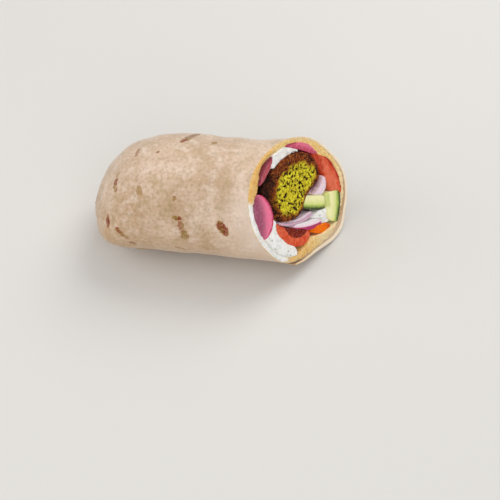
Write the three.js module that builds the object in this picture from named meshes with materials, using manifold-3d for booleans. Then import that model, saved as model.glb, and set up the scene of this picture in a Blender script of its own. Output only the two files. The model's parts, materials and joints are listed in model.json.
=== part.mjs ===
// Half of a rolled falafel wrap, lying on its side with its slanted cut end towards +X.
// Millimetres, +Z up. The origin is on the resting face, under the middle of the roll.
import * as THREE from "three";
import { mergeVertices } from "three/addons/utils/BufferGeometryUtils.js";
import Module from "manifold-3d";

const wasm = await Module();
wasm.setup();

// ---- the roll -------------------------------------------------------------
const CLOSED_END = -66; // x of the folded end's tip
const CUT_AT = 40; // x where the slanted cut crosses the middle of the roll
const FACE_Z = 27.8; // height of the cut face's middle
const HALF_WIDTH = 31.9;
const HALF_HEIGHT = 32.7; // of the roll's upper half
const MIDDLE_Z = 28.4; // height at which the roll is widest
const SIDE_SHIFT = -0.5; // how far its middle stands to the front
const SAG = 2.6; // how far the roll's own weight has pressed its underside flat
const CUT_ANGLE = 38; // the cut leans this far from square, in degrees
const FACE_TURN = 50.5; // how far the cut face is rolled up towards the sky, in degrees
const DOME = 20; // length of the rounded closed end
const DOME_FULLNESS = 2.2; // 2 is round, more is blunter
const NARROWEST = 0.958; // share of the full girth, where the roll is slimmest
const GIRTHS = [
  { at: 50, more: 0.04, wide: 14 },
  { at: 76, more: 0.03, wide: 12 },
]; // where the fillings swell it, mm from the closed end
const MOUTH = 0.09; // how much it widens towards the cut
const MOUTH_FROM = 80;
const MOUTH_TO = 116;
const TIP_DROP = 11; // the closed end hangs this much lower than the roll's middle
const CUT_LIFT = 4; // the cut end's middle is this much higher
const CUT_SLACK = 2.5; // its underside sags this much less
const SLIM = 0.2; // share of its height that the closed end lacks

// ---- the bread ------------------------------------------------------------
const BREAD = 1.8; // one layer of flatbread
const LAP_STEP = 2; // how far the outer lap stands over the layer under it
const LAP_GAP = 0.4; // the slit between the two layers of the lap
const LAP_EDGE = 223; // angle of the lap's free edge round the roll, in degrees
const LAP_RISE = 0.8; // the part of the step that bulges outwards
const LAP_REACH = 56; // how far the lap covers the first layer, in degrees
const FOLD_TURNS = 250; // how far the folded edge winds in over the closed end, in degrees
const GAP = 0.3; // clearance between neighbouring solids
const SLACK = 0.5; // the same where two curved skins lie along each other

const rad = THREE.MathUtils.degToRad;
const cutSlope = Math.tan(rad(CUT_ANGLE));
const faceCos = Math.cos(rad(FACE_TURN));
const faceSin = Math.sin(rad(FACE_TURN));

// 0 below from, 1 above to, smooth between.
const smooth = (from, to, v) => THREE.MathUtils.smoothstep(v, from, to);
const bump = (centre, width, v) => Math.exp(-(((v - centre) / width) ** 2));
const turnFrom = (start, degrees) => THREE.MathUtils.euclideanModulo(degrees - start + 180, 360) - 180;

// Half width, half heights above and below the middle, and the middle's height,
// d mm from the tip of the closed end.
function station(d) {
  const dome = Math.sqrt(Math.max(0, 1 - (1 - THREE.MathUtils.clamp(d / DOME, 0, 1)) ** DOME_FULLNESS));
  const girth = GIRTHS.reduce((sum, { at, more, wide }) => sum + more * bump(at, wide, d), NARROWEST);
  const waist = girth + MOUTH * smooth(MOUTH_FROM, MOUTH_TO, d);
  const middle = MIDDLE_Z - TIP_DROP * (1 - smooth(-6, 34, d)) + CUT_LIFT * smooth(80, 125, d);
  const underside = middle + SAG - CUT_SLACK * smooth(85, 120, d);
  return {
    width: HALF_WIDTH * dome * waist,
    above: HALF_HEIGHT * dome * waist * (1 - SLIM * (1 - smooth(6, 44, d))),
    below: underside * dome * (1 - SLIM * (1 - smooth(-10, 34, d))),
    middle,
  };
}

// Where the fillings push the bread out or leave it slack, towards the cut.
const SWELLINGS = [
  { at: 344, high: 1.7, wide: 17 },
  { at: 307, high: -1, wide: 12 },
  { at: 204, high: 1.4, wide: 15 },
  { at: 167, high: 2.2, wide: 30 },
];
const swelling = (degrees, d) =>
  smooth(55, 100, d) *
  SWELLINGS.reduce((sum, { at, high, wide }) => sum + high * bump(0, wide, turnFrom(at, degrees)), 0);

// The roll is pressed in a little, low on its front side, and further under towards the cut.
const PRESS = { at: 242, atCut: 254, deep: 0.12, wide: 24 };
function pressedIn(degrees, d) {
  const at = PRESS.at + (PRESS.atCut - PRESS.at) * smooth(85, MOUTH_TO, d);
  return 1 - PRESS.deep * bump(0, PRESS.wide, turnFrom(at, degrees));
}

// How far the bread's outside stands off the plain section, at an angle past the lap's edge.
const lapOffset = (past) =>
  LAP_RISE * (1 - smooth(60, 140, past)) - (LAP_STEP - LAP_RISE) * smooth(230, 350, past);

// Depth of bread under its outside: two layers where it laps over itself.
const breadDepth = (past) => BREAD + LAP_STEP * (1 - smooth(LAP_REACH, LAP_REACH + 40, past));
const pastLap = (degrees) => THREE.MathUtils.euclideanModulo(degrees - LAP_EDGE, 360);
const breadInside = (degrees) => breadDepth(pastLap(degrees)) - lapOffset(pastLap(degrees));

// A point of a layer: `inset` mm inside the plain section at station x.
function layerPoint(x, degrees, inset, floor = 0) {
  const d = x - CLOSED_END - Math.max(inset, 0);
  const s = station(d);
  const depth = inset - swelling(degrees, d);
  const radius = (half) => Math.max(half - depth, 0.5) * pressedIn(degrees, d);
  const across = Math.cos(rad(degrees));
  const up = Math.sin(rad(degrees));
  const z = s.middle + radius(up > 0 ? s.above : s.below) * up;
  return new THREE.Vector3(x, SIDE_SHIFT + radius(s.width) * across, Math.max(z, floor));
}

// How far the cut leans at a point of the section.
const lean = (p) => cutSlope * (faceCos * p.y - faceSin * (p.z - FACE_Z));

// A closed body through rings of points, with a fan over each end. The rings run towards +X.
function loft(rings) {
  const count = rings[0].length;
  const positions = rings.flat().flatMap((p) => [p.x, p.y, p.z]);
  const index = [];
  rings.slice(1).forEach((_, r) => {
    for (let k = 0; k < count; k++) {
      const a = r * count + k;
      const b = r * count + ((k + 1) % count);
      index.push(a, b, b + count, a, b + count, a + count);
    }
  });
  const cap = (r, facing) => {
    const middle = rings[r].reduce((sum, p) => sum.add(p), new THREE.Vector3()).divideScalar(count);
    const hub = positions.push(middle.x, middle.y, middle.z) / 3 - 1;
    for (let k = 0; k < count; k++) {
      const pair = [r * count + k, r * count + ((k + 1) % count)];
      index.push(hub, ...(facing ? pair : pair.reverse()));
    }
  };
  cap(0, false);
  cap(rings.length - 1, true);
  const geometry = new THREE.BufferGeometry();
  geometry.setAttribute("position", new THREE.Float32BufferAttribute(positions, 3));
  return geometry.setIndex(index);
}

// Stations from the closed end to `end`: crowded on the dome, even along the roll.
function stations(tip, domeRows, bodyRows, end) {
  const rows = [];
  for (let i = 1; i <= domeRows; i++) {
    const swing = (Math.PI / 2) * (i / domeRows);
    rows.push({ x: tip + DOME * (1 - Math.cos(swing)), swing, share: 0 });
  }
  for (let i = 1; i <= bodyRows; i++) {
    const share = i / bodyRows;
    rows.push({ x: tip + DOME + share * (end - tip - DOME), swing: Math.PI / 2, share });
  }
  return rows;
}

// One ring of a layer. Rows lean more and more towards the cut's own slant.
function ring({ x, share }, columns, inset, floor) {
  return columns.map((degrees) => {
    const depth = inset(degrees);
    const p = layerPoint(x, degrees, depth, floor(degrees));
    for (let pass = 0; share > 0 && pass < 4; pass++) {
      const at = x + lean(p) * share ** 1.3;
      p.copy(layerPoint(at, degrees, depth, floor(degrees)));
    }
    if (share === 1) p.x = x + lean(p);
    return p;
  });
}

const turnOf = (count) => Array.from({ length: count }, (_, k) => (k * 360) / count);

// ---- solids: joins and cuts ------------------------------------------------
function solidOf(geometry) {
  const bare = geometry.clone();
  bare.deleteAttribute("normal");
  bare.deleteAttribute("uv");
  const merged = mergeVertices(bare, 1e-4);
  const mesh = new wasm.Mesh({
    numProp: 3,
    vertProperties: merged.getAttribute("position").array,
    triVerts: new Uint32Array(merged.index.array),
  });
  return new wasm.Manifold(mesh);
}

function geometryOf(solid) {
  const mesh = solid.getMesh();
  const geometry = new THREE.BufferGeometry();
  geometry.setAttribute("position", new THREE.BufferAttribute(Float32Array.from(mesh.vertProperties), 3));
  geometry.setIndex(new THREE.BufferAttribute(Uint32Array.from(mesh.triVerts), 1));
  geometry.computeVertexNormals();
  return geometry;
}

// The largest connected piece, so that no loose scrap is left behind.
const largest = (solid) => solid.decompose().sort((a, b) => b.volume() - a.volume())[0];

// Keeps what lies behind the cut face, moved `proud` mm out along its normal.
const cutNormal = new THREE.Vector3(1, -cutSlope * faceCos, cutSlope * faceSin).normalize();
const cutOffset = cutNormal.dot(new THREE.Vector3(CUT_AT, 0, FACE_Z));
const behindCut = (solid, proud = 0) =>
  solid.trimByPlane(cutNormal.clone().negate().toArray(), -(cutOffset + proud));

// ---- bread, spreads ----------------------------------------------------------
const PAST_CUT = CUT_AT + 14; // hollows run on past the cut, so that it leaves a clean edge

// The rolled flatbread: the folded edge is a step that winds in over the closed end.
function makeBread() {
  const columns = 58;
  const rings = stations(CLOSED_END, 15, 11, CUT_AT).map((row) => {
    const wound = FOLD_TURNS * Math.max(0, 1 - row.swing / (Math.PI / 2)) ** 1.2;
    const axial = Math.cos(row.swing);
    return Array.from({ length: columns + 1 }, (_, k) => {
      const past = (k / columns) * 358.5;
      const degrees = LAP_EDGE + wound + past;
      const step = lapOffset(past) * (1 - 0.5 * axial);
      const [p] = ring(row, [degrees], () => -step * Math.sin(row.swing), () => 0);
      p.x -= step * axial;
      return p;
    });
  });
  const hollow = loft(
    stations(CLOSED_END + BREAD, 5, 9, PAST_CUT).map((row) =>
      ring(row, turnOf(44), breadInside, (degrees) => breadDepth(pastLap(degrees))),
    ),
  );
  const slit = makeSlit();
  return largest(solidOf(loft(rings)).subtract(solidOf(hollow)).subtract(slit));
}

// The slit between the lap and the layer under it, open at the lap's edge and at the cut.
function makeSlit() {
  const angles = Array.from({ length: 12 }, (_, k) => -3 + (k * (LAP_REACH - 8)) / 11);
  const rows = stations(CLOSED_END, 1, 8, PAST_CUT).map((row) => {
    const side = (depth) =>
      ring(
        row,
        angles.map((past) => LAP_EDGE + past),
        (degrees) => depth - lapOffset(Math.max(degrees - LAP_EDGE, 0)),
        () => depth,
      );
    return [...side(LAP_STEP - LAP_GAP), ...side(LAP_STEP).reverse()];
  });
  return solidOf(loft(rows));
}

// Hummus on the inside of the bread: thin all round, with thick places at these angles of the cut face.
const HUMMUS = 0.8;
const HUMMUS_LUMPS = [
  { at: 172, high: 2.7, wide: 14 },
  { at: 68, high: 2.4, wide: 11 },
  { at: 28, high: 1.7, wide: 15 },
  { at: 301, high: 3.4, wide: 15 },
];
// Angles on the cut face count from its right-hand side, anticlockwise.
const faceAngle = (degrees) => THREE.MathUtils.euclideanModulo(degrees + FACE_TURN, 360);
function hummusDepth(degrees) {
  const at = faceAngle(degrees);
  return HUMMUS_LUMPS.reduce((sum, lump) => sum + lump.high * bump(0, lump.wide, turnFrom(lump.at, at)), HUMMUS);
}

function layerSolid(tip, extra, end = PAST_CUT, count = 44) {
  return solidOf(
    loft(
      stations(tip, 5, 9, end).map((row) =>
        ring(
          row,
          turnOf(count),
          (degrees) => breadInside(degrees) + extra(degrees),
          (degrees) => breadDepth(pastLap(degrees)) + extra(degrees),
        ),
      ),
    ),
  );
}

const HUMMUS_TIP = CLOSED_END + BREAD + 2 * SLACK;
const SAUCE_TIP = CLOSED_END + 12;

function makeHummus() {
  const outside = layerSolid(HUMMUS_TIP, () => SLACK);
  const inside = layerSolid(SAUCE_TIP - 2 * SLACK, (degrees) => GAP + hummusDepth(degrees));
  return largest(behindCut(outside.subtract(inside), -0.5));
}

// ---- pieces of filling -------------------------------------------------------
// The fillings' frame: x to the right of the cut face, y up it, z along the roll towards the cut.
const filling = new THREE.Group();
filling.name = "filling";
filling.matrixAutoUpdate = false;
filling.matrix.makeBasis(
  new THREE.Vector3(0, faceCos, -faceSin),
  new THREE.Vector3(0, faceSin, faceCos),
  new THREE.Vector3(1, 0, 0),
);
filling.matrix.setPosition(0, 0, FACE_Z);
filling.matrixWorldNeedsUpdate = true;
const toFilling = filling.matrix.clone().invert();

// A bent lens: length along its bent middle line, thick at its middle, blunter at its ends as `full`
// grows, and thicker towards its far end with `taper`.
function bentLens({ at, turn, length, thick, bend, full = 2, taper = 0 }, grow = 0, steps = 9) {
  const half = length / 2 + grow;
  const curve = rad(bend) / length;
  const middleLine = (s) =>
    Math.abs(curve) < 1e-6
      ? new THREE.Vector2(s, 0)
      : new THREE.Vector2(Math.sin(curve * s) / curve, (1 - Math.cos(curve * s)) / curve);
  const side = (sign) =>
    Array.from({ length: steps }, (_, k) => {
      const share = -Math.cos((Math.PI * (k + (sign > 0 ? 0 : 1))) / steps);
      const s = half * share;
      const wide = ((thick / 2) * (1 + taper * share) + grow) * (1 - Math.abs(share) ** full) ** (1 / full);
      const across = new THREE.Vector2(-Math.sin(curve * s), Math.cos(curve * s));
      return middleLine(s).addScaledVector(across, sign * wide);
    });
  const outline = [...side(-1), ...side(1).reverse()];
  return outline.map((p) => p.rotateAround(new THREE.Vector2(), rad(turn)).add(new THREE.Vector2(...at)));
}

// The outline run along the roll from `from` to past the cut, in the fillings' frame.
function prism(outline, from, to = CUT_AT + 34) {
  const geometry = new THREE.ExtrudeGeometry(new THREE.Shape(outline), {
    depth: to - from,
    bevelEnabled: false,
  });
  return geometry.translate(0, 0, from);
}

// Pieces in the order in which they take their room; each later one gives way to those before it.
// `from` is where the piece starts inside the roll, `proud` how far it stands out of the cut face.
// A `firm` piece presses a groove into the soft falafel. The others give way to the falafel.
const PIECES = [
  { name: "cucumber_large", colour: 0xc3cf7a, proud: 0.6, from: -34,
    at: [19.2, 2.2], turn: 98, length: 15.6, thick: 8.6, bend: 26, full: 6, taper: 0.24 },
  { name: "cucumber_small", colour: 0xc3cf7a, proud: 1.0, from: -30,
    at: [6.6, 2.2], turn: 9, length: 13.4, thick: 7.2, bend: 12, full: 6 },
  { name: "radish_top", colour: 0xc2527c, proud: 0.5, from: -38,
    at: [-4.6, 29.3], turn: 4, length: 22.6, thick: 3.9, bend: -34, full: 2.4, taper: 0.6 },
  { name: "radish_side", colour: 0xc2527c, proud: 0.2, from: -36,
    at: [-23.5, 12.9], turn: 67, length: 17, thick: 3.5, bend: 12, full: 2.4 },
  { name: "radish_front", colour: 0xd0608a, proud: 0.6, from: -32, firm: true,
    at: [-22.3, -9.2], turn: 104, length: 22.4, thick: 10.2, bend: 43, full: 1.8 },
  { name: "tomato_upper", colour: 0xd4573c, proud: 0.3, from: -36,
    at: [15.5, 19.9], turn: -45, length: 27, thick: 8.4, bend: -54, full: 2.6 },
  { name: "tomato_lower", colour: 0xd4573c, proud: 0, from: -34,
    at: [-4.7, -17], turn: -3, length: 23.8, thick: 8.8, bend: 100, full: 1.9, taper: 0.42 },
  { name: "carrot", colour: 0xef7a1c, proud: 0.8, from: -20,
    at: [13.1, -10.2], turn: 23, length: 11, thick: 4.4, bend: 10, full: 2.4 },
  { name: "onion_skin", colour: 0xe0b9cc, proud: 0.2, from: -24,
    at: [4.6, -9.9], turn: 19, length: 17.6, thick: 4.4, bend: 26, full: 2.6, taper: 0.2 },
  { name: "onion_strip", colour: 0xd9c1d2, proud: 0.5, from: -28,
    at: [-2.2, -9], turn: 23, length: 21, thick: 2.9, bend: 50, full: 5 },
  { name: "onion_petal", colour: 0xe3cddc, proud: 0.4, from: -26,
    at: [9.4, 11], turn: 64, length: 12, thick: 8.4, bend: 60, full: 2.2 },
];

const GROWN_STEPS = 9;
function pieceSolid(piece) {
  return solidOf(prism(bentLens(piece), piece.from).applyMatrix4(filling.matrix));
}
function roomFor(piece) {
  const outline = bentLens(piece, GAP + 0.1, GROWN_STEPS);
  return solidOf(prism(outline, piece.from - GAP).applyMatrix4(filling.matrix));
}

// The falafel: a fried ball with a craggy crust, broken open, its crumb facing out of the cut.
const FALAFEL = {
  at: [-7.7, 8.1], // on the cut face
  turn: 60, // of its long side on the cut face
  halfLong: 19.8,
  halfWide: 13.2,
  halfDeep: 14,
  proud: 1.8, // how far its broken face stands out of the cut
  depth: 2, // from the broken face to the ball's widest section
  dent: { at: 0.1, deep: 0.37, wide: 0.43 }, // where the cucumber presses, in shares of its size
};
const crags = (v) =>
  0.5 * Math.sin(9 * v.x + 4 * v.y) * Math.sin(8 * v.y - 3 * v.z) +
  0.4 * Math.sin(13 * v.z + 6 * v.x) * Math.sin(11 * v.y + 5 * v.z);

function falafelSolid(grow = 0, detail = 6) {
  const { at, turn, halfLong, halfWide, halfDeep, proud, depth, dent } = FALAFEL;
  const ball = new THREE.IcosahedronGeometry(1, detail);
  const place = ball.getAttribute("position");
  const v = new THREE.Vector3();
  for (let i = 0; i < place.count; i++) {
    v.fromBufferAttribute(place, i);
    const rough = crags(v) + grow;
    if (v.x > 0) v.x *= 1 - dent.deep * bump(dent.at, dent.wide, v.y);
    v.multiply(new THREE.Vector3(halfWide + rough, halfLong + rough, halfDeep + rough));
    place.setXYZ(i, v.x, v.y, v.z);
  }
  const out = (proud - depth) / Math.cos(rad(CUT_ANGLE));
  const pose = new THREE.Matrix4().makeRotationZ(rad(turn - 90)).setPosition(at[0], at[1], CUT_AT + out);
  const slant = new THREE.Matrix4().makeShear(0, cutSlope, 0, 0, 0, 0); // the ball lies along the cut
  ball.applyMatrix4(pose).applyMatrix4(slant).applyMatrix4(filling.matrix);
  return behindCut(solidOf(ball), proud + grow);
}

// ---- garlic sauce: fills the roll behind the pieces, and shows in three places ----
const SAUCE_RECESS = 5; // between the pieces it lies this far behind the cut
const SAUCE_SHOWS = [
  { at: [-19.2, -20], turn: -46, length: 44, thick: 18.4, bend: 60, full: 3 },
  { at: [-14.8, 23.4], turn: 38, length: 20, thick: 9, bend: -30, full: 3 },
  { at: [13.4, -4.2], turn: 30, length: 11, thick: 7, bend: 0, full: 2.4 },
];

function makeSauce(rooms) {
  const inside = layerSolid(SAUCE_TIP, (degrees) => GAP + SLACK + hummusDepth(degrees));
  const core = behindCut(inside, -SAUCE_RECESS);
  const shown = SAUCE_SHOWS.map((zone) =>
    behindCut(solidOf(prism(bentLens(zone), CUT_AT - 34).applyMatrix4(filling.matrix)).intersect(inside), 0),
  );
  const whole = shown.reduce((sum, zone) => sum.add(zone), core);
  return largest(rooms.reduce((rest, room) => rest.subtract(room), whole));
}

// ---- the object ----------------------------------------------------------------
function named(name, solid, colour, frame) {
  const geometry = geometryOf(solid);
  if (frame) geometry.applyMatrix4(frame);
  const material = new THREE.MeshStandardMaterial({ color: colour, roughness: 0.7, metalness: 0 });
  const mesh = new THREE.Mesh(geometry, material);
  mesh.name = name;
  return mesh;
}

const room = layerSolid(SAUCE_TIP, (degrees) => GAP + SLACK + hummusDepth(degrees));
const falafelRoom = falafelSolid(SLACK);
const rooms = [];
let falafel = falafelSolid();
for (const piece of PIECES) {
  const whole = pieceSolid(piece).intersect(room);
  const start = piece.firm ? whole : whole.subtract(falafelRoom);
  const free = rooms.reduce((rest, taken) => rest.subtract(taken), start);
  rooms.push(roomFor(piece));
  if (piece.firm) falafel = falafel.subtract(roomFor(piece));
  filling.add(named(piece.name, largest(behindCut(free, piece.proud)), piece.colour, toFilling));
}
filling.add(named("falafel", largest(falafel), 0x6b4a1f, toFilling));

const wrap = new THREE.Group();
wrap.name = "falafel_wrap_half";
wrap.add(named("flatbread", makeBread(), 0xd9bd97));
wrap.add(named("hummus", makeHummus(), 0xe2b45f));
wrap.add(named("garlic_sauce", makeSauce([falafelRoom, ...rooms]), 0xe9e6df));
wrap.add(filling);

export default wrap;
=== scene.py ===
# %% [markdown]
# # Half of a falafel wrap
#
# A rolled flatbread, cut on the slant, lies on its side. The cut end shows what is rolled up in
# it: hummus spread on the bread, white garlic sauce with herbs, a falafel broken open, pickled
# radish, tomato, cucumber, onion and a bit of carrot.
#
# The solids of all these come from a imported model. This script gives each one the surface of the
# real food. It goes from the outside in: bread, spreads, falafel, vegetables, then the finishes,
# and last the floor, the lamps and the camera.

import json
import math
import random
from contextlib import contextmanager

import bmesh
import bpy
import numpy as np
from mathutils import Euler, Matrix, Vector, noise

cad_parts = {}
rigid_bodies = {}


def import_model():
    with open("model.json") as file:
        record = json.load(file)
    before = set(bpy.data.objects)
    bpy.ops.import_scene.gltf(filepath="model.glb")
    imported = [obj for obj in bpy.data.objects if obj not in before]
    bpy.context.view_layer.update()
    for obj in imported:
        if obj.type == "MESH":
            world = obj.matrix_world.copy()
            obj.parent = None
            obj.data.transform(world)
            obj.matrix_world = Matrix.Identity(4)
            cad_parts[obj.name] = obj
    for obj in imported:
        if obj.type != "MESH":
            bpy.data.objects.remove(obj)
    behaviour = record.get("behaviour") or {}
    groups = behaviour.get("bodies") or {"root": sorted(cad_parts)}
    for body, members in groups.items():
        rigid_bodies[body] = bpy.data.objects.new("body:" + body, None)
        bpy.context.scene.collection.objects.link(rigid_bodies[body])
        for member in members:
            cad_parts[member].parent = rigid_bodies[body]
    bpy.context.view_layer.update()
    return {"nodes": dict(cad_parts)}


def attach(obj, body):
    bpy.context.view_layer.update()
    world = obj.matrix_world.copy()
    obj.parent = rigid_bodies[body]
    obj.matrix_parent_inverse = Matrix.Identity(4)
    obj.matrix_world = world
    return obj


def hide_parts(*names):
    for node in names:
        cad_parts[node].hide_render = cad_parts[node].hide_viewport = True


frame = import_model()
print("solids:", ", ".join(sorted(frame["nodes"])))

# %% [markdown]
# ## A few hand tools
#
# An operator works on whatever is selected, so a piece is picked alone before each one. Blender
# measures in metres. Food is easier to think of in millimetres, so the points of a mesh are read
# and set in millimetres here.

# %% Hand tools
MM = 0.001


def only(piece):
    """Picks one piece and lets go of everything else."""
    bpy.ops.object.select_all(action="DESELECT")
    piece.select_set(True)
    bpy.context.view_layer.objects.active = piece


@contextmanager
def edit_mode(piece, select="SELECT"):
    """Opens a piece for editing, with all of its mesh selected, or with none of it."""
    only(piece)
    bpy.ops.object.mode_set(mode="EDIT")
    bpy.ops.mesh.select_mode(type="VERT")
    bpy.ops.mesh.select_all(action=select)
    yield
    bpy.ops.object.mode_set(mode="OBJECT")


def modify(piece, kind, **settings):
    """Adds a modifier, sets it and applies it."""
    only(piece)
    bpy.ops.object.modifier_add(type=kind)
    modifier = piece.modifiers[-1]
    for name, value in settings.items():
        setattr(modifier, name, value)
    bpy.ops.object.modifier_apply(modifier=modifier.name)


def points(piece, what="vertices", key="co"):
    """Places in millimetres, or directions, of a mesh's vertices or faces, one row each."""
    values = np.empty(len(getattr(piece.data, what)) * 3, np.float32)
    getattr(piece.data, what).foreach_get(key, values)
    return values.reshape(-1, 3).astype(float) / (MM if key in ("co", "center") else 1)


def place(piece, where):
    """Puts every vertex where it is told, in millimetres."""
    piece.data.vertices.foreach_set("co", (where * MM).astype(np.float32).ravel())
    piece.data.update()


def newest(name):
    """Names the primitive that was just added."""
    piece = bpy.context.active_object
    piece.name = piece.data.name = name
    return piece


def triangles(piece):
    return sum(len(face.vertices) - 2 for face in piece.data.polygons)


# %% [markdown]
# ## The shape of the roll
#
# The roll isn't a straight tube. Its closed end is rounded and lies low, it swells towards the
# cut, and its own weight presses the underside flat. Every layer, from the bread to the sauce,
# follows this one shape at its own depth, so the shape is written down once, as a point for each
# place along and round the roll.

# %% Measures of the roll, in millimetres and degrees
CLOSED_END = -66.0  # x of the closed end
CUT_AT, FACE_Z = 40.0, 27.8  # x and height of the middle of the cut face
HALF_WIDTH, HALF_HEIGHT = 31.9, 32.7
MIDDLE_Z, SIDE_SHIFT = 28.4, -0.5
SAG, CUT_SLACK = 2.6, 2.5  # how far the underside is pressed flat, and how much less at the cut
DOME = 20.0  # length of the rounded end
CUT_ANGLE, FACE_TURN = 38.0, 50.5  # how slanted the cut is, and which way it leans
BREAD = 1.8  # one layer
LAP_STEP, LAP_RISE = 2.0, 0.8  # the lap's step, and how much of it bulges outwards
LAP_EDGE, LAP_REACH = 223.0, 56.0  # where round the roll its edge lies, and how far it covers
FOLD_TURNS = 250.0  # how far the sheet winds round the tip where the end is tucked in

cut_slope = math.tan(math.radians(CUT_ANGLE))
face_cos, face_sin = math.cos(math.radians(FACE_TURN)), math.sin(math.radians(FACE_TURN))
FACE_RIGHT = np.array((0, face_cos, -face_sin))
FACE_UP = np.array((0, face_sin, face_cos))
CUT_NORMAL = np.array((1, -cut_slope * face_cos, cut_slope * face_sin))
CUT_NORMAL /= np.linalg.norm(CUT_NORMAL)


def smooth(low, high, value):
    share = np.clip((value - low) / (high - low), 0, 1)
    return share * share * (3 - 2 * share)


def swell(centre, width, value):
    return np.exp(-(((value - centre) / width) ** 2))


def turn_from(start, degrees):
    return (degrees - start + 180) % 360 - 180


def bulging(table, degrees):
    """Adds up bulges, each given by its angle, its height in mm and its width in degrees."""
    return sum(high * swell(0, wide, turn_from(at, degrees)) for at, high, wide in table)


print(f"the roll is {CUT_AT - CLOSED_END:.0f} mm long in its middle, {2 * HALF_WIDTH:.0f} mm wide")

# %% A point of the roll
# Each bulge: its angle round the roll, how far it stands out, and its width in degrees.
BULGES = ((344, 1.7, 17), (307, -1.0, 12), (204, 1.4, 15), (167, 2.2, 30))


def section(d):
    """Half width, half heights and middle of the roll, d mm from the tip of the closed end."""
    # It is rounded at the end, swells softly in two places, and widens and climbs towards the cut.
    dome = np.sqrt(np.maximum(0, 1 - (1 - np.clip(d / DOME, 0, 1)) ** 2.2))
    waist = 0.958 + 0.04 * swell(50, 14, d) + 0.03 * swell(76, 12, d) + 0.09 * smooth(80, 116, d)
    middle = MIDDLE_Z - 11 * (1 - smooth(-6, 34, d)) + 4 * smooth(80, 125, d)
    above = HALF_HEIGHT * dome * waist * (0.8 + 0.2 * smooth(6, 44, d))
    below = (middle + SAG - CUT_SLACK * smooth(85, 120, d)) * dome * (0.8 + 0.2 * smooth(-10, 34, d))
    return HALF_WIDTH * dome * waist, above, below, middle


def roll_point(x, degrees, inset, floor=0.0):
    """Points inset this far into the roll; they don't go below the floor."""
    d = x - CLOSED_END - np.maximum(inset, 0)
    width, above, below, middle = section(d)
    depth = inset - smooth(55, 100, d) * bulging(BULGES, degrees)
    pressed = 1 - 0.12 * swell(0, 24, turn_from(242 + 12 * smooth(85, 116, d), degrees))
    across, up = np.cos(np.radians(degrees)), np.sin(np.radians(degrees))
    y = SIDE_SHIFT + np.maximum(width - depth, 0.002) * pressed * across
    z = middle + np.maximum(np.where(up > 0, above, below) - depth, 0.002) * pressed * up
    return np.column_stack((x, y, np.maximum(z, floor)))


def lean(where):
    """How far along the roll the slanted cut lies at these points, from where it is in the middle."""
    return cut_slope * (face_cos * where[:, 1] - face_sin * (where[:, 2] - FACE_Z))


def lap_offset(past):
    return LAP_RISE * (1 - smooth(60, 140, past)) - (LAP_STEP - LAP_RISE) * smooth(230, 350, past)


CUT_MIDDLE = np.array((CUT_AT, 0, FACE_Z))


def behind_cut(where):
    return -(where - CUT_MIDDLE) @ CUT_NORMAL


def on_face(where):
    """Places across and up the cut face, from its middle, seen along the roll."""
    return (where - CUT_MIDDLE) @ FACE_RIGHT, (where - CUT_MIDDLE) @ FACE_UP


def note(piece, name, *values):
    """Keeps up to three values at each point, for the finish to read."""
    table = np.zeros((len(values[0]), 3), np.float32)
    table[:, :len(values)] = np.column_stack(values)
    kept = piece.data.attributes.new(name, "FLOAT_VECTOR", "POINT")
    kept.data.foreach_set("vector", table.ravel())


tip = roll_point(np.array([CLOSED_END]), np.array([0.0]), np.array([0.0]))[0]
print(f"the closed end's tip is {tip[2]:.1f} mm above the table")

# %% [markdown]
# ## The flatbread: one sheet, rolled up
#
# A wrap is one round sheet of soft bread. Its outer edge laps over the layer under it, and at the
# closed end it is tucked in, so that the edge winds into the middle of the end. A solid tube with
# a groove would look cast. A flat grid that is rolled up, as the cook does it, has a true free
# edge, a true gap under the lap, and a thickness that shows at the cut.

# %% Lay the sheet out
SHEET_COLUMNS, SHEET_ROWS = 290, 136
DOME_ROWS, CUT_ROWS = 24, 6
UNDER_COLUMNS = 32  # of the columns, those that end up hidden under the lap
UNDER_END = LAP_REACH + 30

bpy.ops.object.select_all(action="DESELECT")
bpy.ops.mesh.primitive_grid_add(x_subdivisions=SHEET_COLUMNS, y_subdivisions=SHEET_ROWS, size=1)
flatbread = newest("rolled_flatbread")
flat = points(flatbread) * MM + 0.5
column = np.rint(flat[:, 0] * SHEET_COLUMNS)
row = np.rint(flat[:, 1] * SHEET_ROWS)
print("the flat sheet has", len(flatbread.data.polygons), "faces")

# %% How far along and round the roll each row and column goes
BODY_SHARE = 0.97  # of the length between end and cut; the last few rows share the rest
seen_columns = SHEET_COLUMNS - UNDER_COLUMNS
turn = np.where(column <= seen_columns, 360 * column / seen_columns,
                360 + UNDER_END * (column - seen_columns) / UNDER_COLUMNS)
swing = np.radians(90 * np.clip(row / DOME_ROWS, 0, 1))
body_rows = SHEET_ROWS - DOME_ROWS - CUT_ROWS
past_dome = row - DOME_ROWS
share = np.where(past_dome <= body_rows, BODY_SHARE * past_dome / body_rows,
                 BODY_SHARE + (1 - BODY_SHARE) * (past_dome - body_rows) / CUT_ROWS)
share = np.maximum(share, 0)

# The free edge isn't straight: it wanders a little to and fro.
wander = 1.1 * np.sin(row * 0.13) + 0.7 * np.sin(row * 0.31 + 1) + 0.5 * np.sin(row * 0.72 + 2)
turn = turn + wander * (1 - smooth(0, 14, turn)) * smooth(6, 20, row) * (row < SHEET_ROWS - 20)
print(f"the sheet goes round {turn.max():.0f} degrees, {UNDER_END:.0f} of them under its own lap")

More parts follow.
